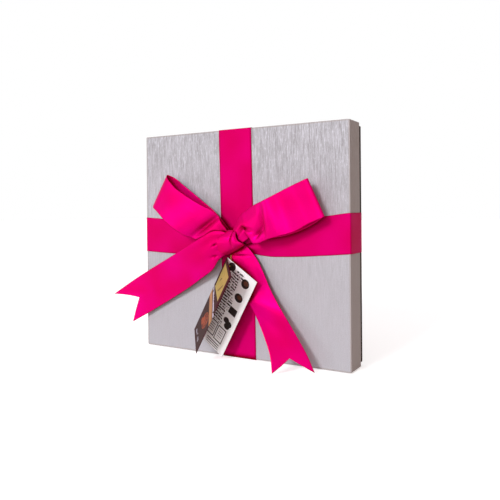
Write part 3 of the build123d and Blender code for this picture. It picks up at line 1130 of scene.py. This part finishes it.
@dataclass
class Bow:
    """The ribbon round the box and the bow on the lid, in millimetres.

    A run stands off the paper by its skin, and off the run under it by over on the lid and by
    over_back on the back. It is held flat at straight and at corner before an edge, and turns
    the edge after that. The base lies inset in the lid, rim_gap parts the two halves of a run,
    and base_sides is what the sides of the base add to its length.
    """

    lid: Lid
    skin: float = 0.25
    over: float = 0.45
    over_back: float = 0.4
    corner: float = 0.8
    straight: float = 2.8
    base_corner: float = 0.6
    base_straight: float = 2.4
    inset: float = 1.9
    rim_gap: float = 0.15
    base_sides: float = 17.6
    pieces: List[str] = field(default_factory=list)

    def build(self) -> None:
        """Makes every length of ribbon, the flat runs first."""
        # The runs and the bow are one ribbon, painted as two copies for how light falls on them: a
        # shaded, redder copy for the runs on the box and a lit, pinker copy for the loops, tails and
        # knot. Each copy's depth is its painted crease shade.
        deep = SatinRibbon(
            name="satin_painted_shade",
            colour=linear(220, 0, 116),
            shade=linear(206, 0, 84),
            depth=linear(134, 0, 22),
            silk=0.12,
            roughness=0.48,
        ).build()
        lit_satin_copy = SatinRibbon(
            name="satin_painted_lit",
            colour=linear(227, 0, 131),
            shade=linear(215, 0, 82),
            depth=linear(130, 0, 18),
            silk=0.42,
            roughness=0.36,
        ).build()
        runs = (self.upright_run, self.level_run, self.upright_back, self.level_back)
        turns = (self.left_loop, self.right_loop, self.left_tail, self.right_tail, self.knot)
        for lengths, finish in ((runs, deep), (turns, lit_satin_copy)):
            for length in lengths:
                self.pieces.append(length().build(self.lid, finish).name)

    @staticmethod
    def upright(place: Pair, edges: Pair, bulge: float = 0.0, gather: float = 0.0) -> Row:
        """Makes a row of an upright run, from its height and distance out and its two edges."""
        (up, out), (left, right) = place, edges
        return Row((left, up, out), (right, up, out), bulge, gather)

    @staticmethod
    def level(place: Pair, edges: Pair, bulge: float = 0.0, gather: float = 0.0) -> Row:
        """Makes a row of a level run, from its distances right and out and its two edges."""
        (right, out), (upper, lower) = place, edges
        return Row((right, upper, out), (right, lower, out), bulge, gather)

    def round_lid(self, reach: float) -> List[Pair]:
        """Lays a run from the lid's rim round its edge on to its face.

        Args:
            reach: How far the lid's side lies from its middle.

        Returns:
            How far from the middle and how far out each place is.
        """
        skin, deep = self.skin, self.lid.deep
        return [
            (reach + skin, -deep),
            (reach + skin, -deep / 2),
            (reach + skin, -self.corner),
            (reach + skin * 0.7, skin * 0.7),
            (reach - self.corner, skin),
            (reach - self.straight, skin),
        ]

    def round_back(
        self, row: Callable[..., Row], reach: float, over: float, lean: Pair, half_wide: float
    ) -> List[Row]:
        """Lays a run from the lid's rim round the base to the other rim.

        Args:
            row: Makes a row of the run.
            reach: How far the lid's side lies from its middle.
            over: How far the run stands off the back.
            lean: Where its middle line is at the middle, and how far that moves to the end.
            half_wide: Half its width as it lies, less than nothing to turn it over.

        Returns:
            The rows.
        """
        skin, inset = self.skin, self.inset
        rim, back = self.lid.deep + self.rim_gap, self.lid.back - self.lid.face
        first = [
            (reach + skin, -rim),
            (reach + skin - inset / 2, -(rim + back) / 2),
            (reach + skin - inset, -back + self.base_straight),
            (reach + skin - inset, -back + self.base_corner),
            (reach - inset - self.base_corner, -back - skin),
            (reach - inset - self.base_straight, -back - skin),
            (reach * 0.5, -back - over),
        ]
        places = [(-place, out) for place, out in first] + [(0.0, -back - over)] + first[::-1]
        rows = []
        for place, out in places:
            middle = lean[0] + lean[1] * place / reach
            rows.append(row((place, out), (middle - half_wide, middle + half_wide)))
        return rows

    def upright_run(self) -> Strip:
        """Lays the run down the lid's face, round its upper and lower sides.

        Returns:
            The ribbon.
        """
        half, skin = self.lid.half_high, self.skin
        edge = self.round_lid(half)
        rows = [self.upright(place, (-18.7, 13.5)) for place in edge[:4]]
        rows += [self.upright(place, (-18.6, 13.6)) for place in edge[4:]]
        rows += [
            self.upright((half * 0.62, skin), (-17.9, 14.2)),
            self.upright((8.0, skin), (-16.9, 15.2), gather=0.1),
            self.upright((-half * 0.5, skin), (-16.3, 15.9)),
        ]
        rows += [self.upright((-place, out), (-15.6, 16.6)) for place, out in reversed(edge)]
        return Strip(
            name="ribbon_down_lid",
            rows=rows,
            stands_for=("lid_ribbon_upright",),
            hold=Held.STRETCHED,
            length=2 * half + 2 * self.lid.deep,
            steps=(240, 12),
            rests_on=("lid_wrap",),
        )

    def level_run(self) -> Strip:
        """Lays the run across the lid's face, over the upright run and drawn in at the knot.

        Returns:
            The ribbon.
        """
        side, skin = self.lid.side, self.skin
        over = skin + self.over
        edge = self.round_lid(side)
        rows = [self.level((-place, out), (21.8, -9.6)) for place, out in edge[:5]]
        rows += [
            self.level((-side + self.straight, skin), (21.7, -9.7)),
            self.level((-78.0, skin), (20.4, -10.5), 0.2),
            self.level((-50.0, skin), (18.6, -10.8), 0.8, 0.1),
            self.level((-32.0, skin), (15.5, -10.4), 1.6, 0.3),
            self.level((-20.0, over), (12.4, -9.3), 1.8, 0.6),
            self.level((-10.0, over + 0.3), (9.8, -7.4), 1.5, 0.8),
            self.level((-3.0, over + 0.4), (9.4, -6.6), 1.2, 0.8),
            self.level((5.0, over + 0.3), (10.4, -5.8), 1.5, 0.8),
            self.level((15.0, over), (14.0, -8.3), 1.8, 0.7),
            self.level((29.0, skin), (19.0, -10.2), 1.4, 0.4),
            self.level((46.0, skin), (21.4, -10.0), 0.6, 0.1),
            self.level((78.0, skin), (22.6, -8.0)),
            self.level((side - self.straight, skin), (25.0, -6.4)),
        ]
        rows += [self.level(place, (25.2, -6.2)) for place in edge[4::-1]]
        return Strip(
            name="ribbon_across_lid",
            rows=rows,
            stands_for=("lid_ribbon_level",),
            hold=Held.STRETCHED,
            length=2 * side + 2 * self.lid.deep,
            steps=(300, 24),
            rests_on=("lid_wrap", "ribbon_down_lid"),
            side=Side.AGAINST,
            waves=2.6,
        )

    def upright_back(self) -> Strip:
        """Lays the upright run's half on the base.

        Returns:
            The ribbon.
        """
        half = self.lid.half_high
        return Strip(
            name="ribbon_down_back",
            rows=self.round_back(self.upright, half, self.skin, (-1.0, -1.5), 16.1),
            body="base",
            stands_for=("base_ribbon_upright",),
            hold=Held.STRETCHED,
            length=2 * half + self.base_sides,
            steps=(160, 12),
            rests_on=("base_wrap",),
        )

    def level_back(self) -> Strip:
        """Lays the level run's half on the base, over the upright one.

        Returns:
            The ribbon.
        """
        side, over = self.lid.side, self.skin + self.over_back
        return Strip(
            name="ribbon_across_back",
            rows=self.round_back(self.level, side, over, (7.8, 1.7), -15.7),
            body="base",
            stands_for=("base_ribbon_level",),
            hold=Held.STRETCHED,
            length=2 * side + self.base_sides,
            steps=(160, 12),
            rests_on=("base_wrap", "ribbon_down_back"),
        )

    def left_loop(self) -> Strip:
        """Lays the left loop: out from the knot by the lid, round its fold and back.

        Returns:
            The ribbon.
        """
        rows = [
            Row((-4.0, 7.0, 2.2), (-8.0, -3.0, 2.2), 0.0, 0.6),
            Row((-9.5, 14.5, 3.2), (-15.0, -1.0, 3.0), 0.5, 0.6),
            Row((-20.8, 26.6, 4.2), (-33.0, 3.5, 3.4), 0.3, 0.3),
            Row((-35.4, 37.4, 4.4), (-50.0, 10.5, 3.4)),
            Row((-54.8, 50.9, 4.2), (-68.0, 22.5, 3.4)),
            Row((-66.0, 58.4, 5.0), (-81.5, 31.2, 4.6)),
            Row((-68.9, 59.9, 8.6), (-85.0, 32.7, 8.4)),
            Row((-67.1, 57.2, 11.0), (-82.3, 31.3, 12.4)),
            Row((-59.4, 49.9, 12.6), (-76.4, 27.9, 15.1), 0.4),
            Row((-45.8, 41.7, 14.2), (-65.0, 19.5, 17.8), 0.8),
            Row((-27.0, 32.3, 15.5), (-52.5, 10.9, 17.6), 0.6, 0.1),
            Row((-15.9, 26.9, 14.5), (-41.8, 5.0, 14.5), 0.8, 0.1),
            Row((-9.8, 19.4, 13.6), (-29.3, 1.8, 11.5), 1.6, 0.2),
            Row((-6.5, 13.6, 10.8), (-19.5, 0.7, 9.5), 1.6, 0.4),
            Row((-4.0, 9.0, 8.6), (-10.5, -1.2, 7.2), 1.2, 0.4),
        ]
        return Strip(
            name="bow_loop_left",
            rows=rows,
            stands_for=("bow_left_loop",),
            hold=Held.FOLDED,
            length=186.0,
            side=Side.AGAINST,
            waves=2.2,
            phase=0.6,
            dents=(Dent(0.876, 0.42, 0.03, 0.5, 4.0, -14.0),),
            steps=(220, 40),
        )

    def right_loop(self) -> Strip:
        """Lays the right loop, with the deep gather folds by the knot.

        Returns:
            The ribbon.
        """
        rows = [
            Row((0.0, 6.0, 2.2), (4.0, -3.0, 2.2), 0.0, 0.5),
            Row((8.0, 16.0, 3.0), (14.0, 1.0, 3.0), 0.4, 0.5),
            Row((20.0, 25.5, 3.6), (31.0, 4.5, 3.4), 0.2, 0.2),
            Row((35.0, 33.5, 3.8), (48.0, 7.5, 3.4)),
            Row((56.0, 43.0, 4.0), (69.0, 15.5, 3.6)),
            Row((64.5, 48.9, 6.4), (78.0, 20.6, 4.8)),
            Row((69.3, 51.9, 10.2), (82.0, 23.0, 7.8)),
            Row((70.3, 52.0, 12.0), (82.9, 22.8, 9.2)),
            Row((57.4, 46.5, 14.5), (71.0, 17.0, 13.0)),
            Row((43.8, 40.2, 16.0), (57.5, 10.4, 13.0), 0.2),
            Row((35.4, 35.7, 19.4), (46.0, 7.2, 16.6), 0.9, 0.1),
            Row((19.9, 30.5, 12.5), (34.0, 3.7, 15.2), 1.6, 0.3),
            Row((13.1, 26.9, 10.0), (25.8, 1.0, 13.4), 2.0, 0.2),
            Row((9.6, 25.0, 9.2), (21.4, 1.8, 13.0), 2.2, 0.2),
            Row((6.4, 21.6, 8.6), (20.2, 6.4, 11.2), 2.2, 0.2),
            Row((3.4, 17.2, 8.0), (15.2, 4.2, 10.6), 1.8, 0.3),
            Row((0.8, 12.6, 8.4), (9.7, 0.9, 10.0), 1.2, 0.3),
            Row((-1.6, 8.6, 8.0), (4.6, -2.0, 8.4), 0.6, 0.3),
        ]
        return Strip(
            name="bow_loop_right",
            rows=rows,
            stands_for=("bow_right_loop",),
            hold=Held.FOLDED,
            length=186.0,
            waves=1.6,
            phase=2.6,
            dents=(
                Dent(0.785, 0.5, 0.03, 0.21, 2.4, 11.0),
                Dent(0.835, 0.735, 0.03, 0.09, 3.2, 2.2),
                Dent(0.93, 0.68, 0.045, 0.13, -1.6, 0.6),
                Dent(0.905, 0.5, 0.04, 0.08, 2.0, -2.6),
            ),
            steps=(220, 40),
        )

    def left_tail(self) -> Strip:
        """Lays the tail that lies out over the lid's left edge.

        Returns:
            The ribbon.
        """
        rows = [
            Row((-2.5, 8.0, 9.0), (-5.0, -8.0, 6.0), 0.5, 0.1),
            Row((-8.6, 10.4, 12.4), (-9.4, -10.6, 8.0), 1.3, 0.2),
            Row((-14.6, 10.6, 14.6), (-13.1, -13.4, 9.4), 1.4, 0.3),
            Row((-25.2, 6.0, 16.0), (-19.6, -21.8, 9.0), 1.0, 0.2),
            Row((-41.0, -1.7, 14.8), (-32.3, -30.2, 7.2), 0.6, 0.1),
            Row((-58.6, -10.2, 11.6), (-47.7, -39.6, 5.4), 0.4),
            Row((-84.5, -22.7, 8.5), (-71.4, -52.9, 4.0)),
            Row((-110.7, -36.1, 6.4), (-95.2, -65.9, 4.0)),
            Row((-135.9, -51.0, 6.6), (-113.4, -75.7, 5.6), -0.4),
        ]
        return Strip(
            name="bow_tail_left",
            rows=rows,
            stands_for=("bow_left_tail",),
            hold=Held.DRAPED,
            length=134.0,
            waves=2.4,
            phase=0.4,
            notch=21.0,
            dents=(
                Dent(0.095, 0.45, 0.02, 0.035, 1.5, -0.4),
                Dent(0.112, 0.78, 0.035, 0.045, 1.4, -2.8),
            ),
            steps=(180, 40),
        )

    def right_tail(self) -> Strip:
        """Lays the tail that spreads from under the knot and stands on its two tips.

        Returns:
            The ribbon.
        """
        rows = [
            Row((-6.0, -4.5, 2.8), (6.0, 1.5, 3.4), 0.6, 0.1),
            Row((-7.0, -12.0, 2.8), (13.2, -4.2, 4.0), 1.2, 0.15),
            Row((-5.0, -20.5, 2.8), (20.3, -12.0, 4.2), 1.3, 0.15),
            Row((-1.0, -30.0, 3.8), (26.2, -21.5, 5.0), 0.9, 0.1),
            Row((6.0, -39.0, 5.8), (32.6, -33.5, 6.2), 0.4),
            Row((16.2, -48.0, 10.4), (39.6, -44.2, 7.6)),
            Row((29.5, -60.0, 19.0), (49.2, -56.8, 9.4)),
            Row((38.7, -73.2, 23.8), (59.9, -70.4, 11.4)),
            Row((45.0, -84.7, 27.6), (69.4, -83.8, 12.9)),
            Row((48.3, -96.1, 31.2), (75.8, -96.1, 13.5)),
        ]
        return Strip(
            name="bow_tail_right",
            rows=rows,
            stands_for=("bow_right_tail",),
            hold=Held.HUNG,
            length=112.0,
            waves=2.0,
            notch=11.0,
            dents=(Dent(0.082, 0.57, 0.025, 0.06, 1.0, 10.0),),
            steps=(160, 36),
        )

    def knot(self) -> Strip:
        """Lays the band wrapped over the crossing, with its folds.

        Returns:
            The ribbon.
        """
        rows = [
            Row((-8.0, 7.5, 2.0), (3.0, 8.0, 2.0)),
            Row((-9.5, 10.6, 5.4), (3.2, 10.4, 6.0), 0.6),
            Row((-13.5, 9.8, 9.6), (4.2, 9.4, 10.0), 1.0),
            Row((-16.8, 5.8, 11.4), (5.4, 5.8, 11.6), 1.8),
            Row((-18.4, 1.0, 12.0), (7.2, 2.8, 12.0), 2.0),
            Row((-17.4, -4.4, 11.4), (9.8, 1.2, 11.4), 1.8),
            Row((-14.6, -9.2, 9.4), (10.9, 0.2, 9.6), 1.2),
            Row((-10.8, -10.6, 7.0), (9.6, -1.2, 6.8), 0.6),
            Row((-8.0, -10.2, 3.8), (5.5, -3.0, 3.8), 0.3),
            Row((-7.0, -8.0, 2.0), (1.0, -4.4, 2.0)),
        ]
        return Strip(
            name="bow_knot_wrap",
            rows=rows,
            stands_for=("bow_knot",),
            hold=Held.FOLDED,
            length=27.0,
            waves=2.4,
            phase=1.0,
            dents=(
                Dent(0.46, 0.75, 0.22, 0.03, 1.1, -0.5),
                Dent(0.47, 0.88, 0.26, 0.09, -1.4, -0.4),
                Dent(0.3, 0.4, 0.1, 0.3, 0.8, 1.0),
            ),
            steps=(70, 60),
        )


@dataclass
class Leaflet:
    """The folded leaflet and its cord, in millimetres and degrees.

    Its spine starts at top on the lid and leans from upright, and each leaf turns about it.
    """

    wide: float = 39.6
    long: float = 73.0
    lean: float = 28.2
    page_turn: float = 12.8
    cover_turn: float = 48.4
    top: Point = (-8.8, -11.9, 4.0)
    pieces: List[str] = field(default_factory=list)

    def across(self, turn: float) -> Point:
        """Finds the direction across a leaf.

        Args:
            turn: How far the leaf turns out from the lid, in degrees.

        Returns:
            The direction.
        """
        lean, angle = math.radians(self.lean), math.radians(turn)
        level = math.cos(angle)
        return math.cos(lean) * level, -math.sin(angle), -math.sin(lean) * level

    def leaf(self, lid: Lid, turn: float) -> Leaf:
        """Works out where a leaf lies.

        Args:
            lid: The lid.
            turn: How far the leaf turns out from the lid, in degrees.

        Returns:
            The leaf's place, in metres.
        """
        lean = math.radians(self.lean)
        return Leaf(
            start=lid.at(self.top),
            across=self.across(turn),
            down=(-math.sin(lean), 0.0, -math.cos(lean)),
            inward=self.across(turn - 90.0),
            wide=self.wide * MM,
            long=self.long * MM,
        )

    def dress(self, nodes: Nodes, lid: Lid) -> None:
        """Prints the page and the cover and colours the cord.

        Args:
            nodes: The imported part's objects by name.
            lid: The lid.
        """
        page = PrintedPage("printed_page", self.leaf(lid, self.page_turn))
        cover = PrintedCover("printed_cover", self.leaf(lid, self.cover_turn))
        cord = TwistedCord("gold_cord", linear(226, 184, 96), linear(128, 92, 36))
        for name, finish in (("page", page), ("cover", cover), ("tie", cord)):
            wear(nodes[f"leaflet_{name}"], finish.build())
            self.pieces.append(f"leaflet_{name}")


@dataclass
class Filling:
    """The tray, the chocolates and the padding sheet.

    The quilt is a grid of so many steps and diamonds. Between the diamonds its puff falls to
    the share dip, it thins toward its edges, the faster the larger hem is, and each face sinks
    by the share sink of its thickness at most.
    """

    rows: int = 5
    steps: int = 96
    diamonds: int = 9
    hem: float = 14.0
    dip: float = 0.35
    sink: float = 0.42
    pieces: List[str] = field(default_factory=list)

    def dress(self, nodes: Nodes) -> None:
        """Gives the tray and the chocolates their finishes.

        Args:
            nodes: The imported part's objects by name.
        """
        foil = FormedSheet("formed_sheet", linear(206, 176, 110), linear(158, 126, 70))
        wear(nodes["tray"], foil.build())
        self.pieces.append("tray")
        milk, dark, white = linear(112, 66, 40), linear(58, 32, 22), linear(238, 222, 186)
        kinds = (
            Chocolate("milk_dome", milk, linear(84, 46, 27), drizzle=white),
            Chocolate("dark_square", dark, linear(38, 19, 13)),
            Chocolate("white_oval", white, linear(218, 196, 152), drizzle=dark),
            Chocolate("nut_cluster", linear(96, 54, 32), linear(66, 35, 21), lumps=1.2),
            Chocolate("praline_cup", linear(124, 78, 48), linear(92, 52, 30)),
        )
        finishes = [kind.build() for kind in kinds]
        for row in range(self.rows):
            for column in range(self.rows):
                name = f"chocolate_{row + 1}_{column + 1}"
                wear(nodes[name], finishes[(2 * row + column) % len(finishes)])
                self.pieces.append(name)

    def sunk(self, u: float, v: float) -> float:
        """Finds how far the quilt's face sinks in at a place.

        Args:
            u: Share of its width.
            v: Share of its height.

        Returns:
            The share of its thickness.
        """
        pitch = math.pi * self.diamonds
        quilt = abs(math.sin(pitch * (u + v)) * math.sin(pitch * (u - v)))
        puff = self.dip + (1 - self.dip) * quilt**0.5
        return 1 - puff * min(1.0, self.hem * min(u, 1 - u, v, 1 - v))

    def pad(self) -> None:
        """Makes the quilted padding sheet in place of its plain solid."""
        low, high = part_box("padding_sheet")
        size = high - low
        line = self.steps + 1
        points = []
        for face, inward in ((low.y, 1), (high.y, -1)):
            for row in range(line):
                for column in range(line):
                    u, v = column / self.steps, row / self.steps
                    y = face + inward * self.sunk(u, v) * size.y * self.sink
                    points.append((low.x + size.x * u, y, low.z + size.z * v))
        half = line * line
        faces = []
        for front in grid_faces(line, line):
            faces.append(front)
            faces.append(tuple(half + corner for corner in reversed(front)))
        edge = list(range(line))
        edge += [row * line + self.steps for row in range(1, line)]
        edge += [self.steps * line + column for column in reversed(range(self.steps))]
        edge += [row * line for row in reversed(range(1, self.steps))]
        for first, second in zip(edge, edge[1:] + edge[:1]):
            faces.append((second, first, half + first, half + second))
        tissue = PlainPaper("padding_tissue", linear(246, 240, 228), linear(226, 218, 204), 0.7)
        piece = add_mesh("padding_quilt", points, faces, tissue.build())
        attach(piece, "pad")
        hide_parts("padding_sheet")
        self.pieces.append(piece.name)


# The studio


@dataclass(frozen=True)
class Lamp:
    """A soft square light: its place, what it points at, its side and its power."""

    name: str
    place: Point
    aim: Point
    size: float
    watts: float


@dataclass
class Studio:
    """The camera, the pale floor and the soft lights, in metres.

    The focal length and the height of the principal point are in the photograph's pixels.
    """

    place: Point = (0.25545, -0.42567, 0.12489)
    turn: Point = (1.56699, 0.008176, 0.535272)
    focal: float = 572.01
    picture: int = 500
    principal_down: float = 212.2
    sensor: float = 36.0
    floor_half: float = 6.0
    floor_drop: float = 0.0002
    floor_lift: float = 0.62
    white_floor: Tuple[Colour, Colour] = ((0.94, 0.94, 0.94), (0.96, 0.96, 0.96))
    warm_floor: Tuple[Colour, Colour] = ((0.62, 0.54, 0.49), (0.64, 0.56, 0.51))
    white: Colour = (1.0, 1.0, 1.0)
    black: Colour = (0.0, 0.0, 0.0)
    surround: float = 0.46
    cool_side: Colour = (0.96, 0.98, 1.04)
    warm_side: Colour = (0.66, 0.24, 0.02)
    warm_from: float = 0.25
    warm_to: float = 0.75
    key_way: Point = (0.16, 0.86, -0.42)
    key_power: float = 1.6
    key_spread: float = 16.0
    lamps: Tuple[Lamp, ...] = (
        Lamp("fill", (0.5, -1.9, 0.1), (0.0, 0.0, 0.08), 0.9, 10.0),
        Lamp("low", (-0.75, -0.75, 0.02), (-0.05, 0.0, 0.0), 0.4, 2.0),
    )

    def camera(self) -> None:
        """Sets the camera where the photograph was taken from."""
        data = bpy.data.cameras.new("camera")
        data.sensor_width = self.sensor
        data.lens = self.focal / self.picture * self.sensor
        data.shift_y = (self.principal_down - self.picture / 2) / self.picture
        camera = add_object("camera", data)
        camera.location = self.place
        camera.rotation_euler = Euler(self.turn)
        bpy.context.scene.camera = camera
        bpy.context.scene.view_settings.view_transform = "Standard"

    def floor(self) -> None:
        """Lays a pale floor, lifted to white for the camera and warmer for the light it throws."""
        graph = Paint("floor_paint")
        grain = graph.noise(graph.place(), 30.0)
        seen = graph.seen()
        warm, white = graph.mix(grain, *self.warm_floor), graph.mix(grain, *self.white_floor)
        finish = graph.put(
            Base_Color=graph.mix(seen, warm, white),
            Roughness=0.9,
            Specular_IOR_Level=0.1,
            Emission_Color=graph.mix(seen * self.floor_lift, self.black, self.white),
            Emission_Strength=1.0,
        )
        far = self.floor_half
        corners = [(-far, -far, 0), (far, -far, 0), (far, far, 0), (-far, far, 0)]
        floor = add_mesh("floor", corners, [(0, 1, 2, 3)], finish)
        floor.location.z = -self.floor_drop

    def world(self) -> None:
        """Makes a white backdrop for what is seen and a soft surround for the light."""
        world = bpy.data.worlds.new("surround")
        world.use_nodes = True
        graph = Graph(world.node_tree)
        graph.tree.nodes.remove(graph.tree.nodes["Background"])
        right = graph.parts(graph.node("ShaderNodeTexCoord", {}, {}, "Generated"))[0]
        spread = {"Value": right, "From Min": self.warm_from, "From Max": self.warm_to}
        warmth = graph.node("ShaderNodeMapRange", {}, spread)
        tint = graph.mix(warmth, self.cool_side, self.warm_side)
        soft = graph.node("ShaderNodeBackground", {}, {"Color": tint, "Strength": self.surround})
        backdrop = graph.node("ShaderNodeBackground", {}, {"Color": self.white, "Strength": 1.0})
        blend = graph.node("ShaderNodeMixShader", {}, {0: graph.seen(), 1: soft, 2: backdrop})
        graph.feed(graph.tree.nodes["World Output"].inputs["Surface"], blend)
        bpy.context.scene.world = world

    def light(self, name: str, kind: str, way: Vector, power: float) -> bpy.types.Object:
        """Adds a light.

        Args:
            name: Its name.
            kind: Its kind, in Blender's words.
            way: The direction that it shines in.
            power: Its power.

        Returns:
            The light.
        """
        light = add_object(name, bpy.data.lights.new(name, kind))
        light.data.energy = power
        light.rotation_euler = way.to_track_quat("-Z", "Y").to_euler()
        return light

    def build(self) -> None:
        """Makes the whole studio, with a far key light that falls evenly on the floor."""
        self.camera()
        self.floor()
        self.world()
        key = self.light("key", "SUN", Vector(self.key_way), self.key_power)
        key.data.angle = math.radians(self.key_spread)
        for lamp in self.lamps:
            light = self.light(lamp.name, "AREA", Vector(lamp.aim) - Vector(lamp.place), lamp.watts)
            light.data.shape = "SQUARE"
            light.data.size = lamp.size
            light.location = lamp.place


def main() -> None:
    """Builds the box in order."""
    logging.basicConfig(level=logging.INFO, format="%(message)s")
    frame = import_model()
    nodes = frame["nodes"]
    lid = Lid.read()
    papers = Papers()
    papers.dress(nodes, lid)
    bow = Bow(lid)
    bow.build()
    leaflet = Leaflet()
    leaflet.dress(nodes, lid)
    filling = Filling()
    filling.dress(nodes)
    filling.pad()
    Studio().build()
    for part in (papers, bow, leaflet, filling):
        log.info("%s: %s", type(part).__name__, ", ".join(part.pieces))


if __name__ == "__main__":
    main()
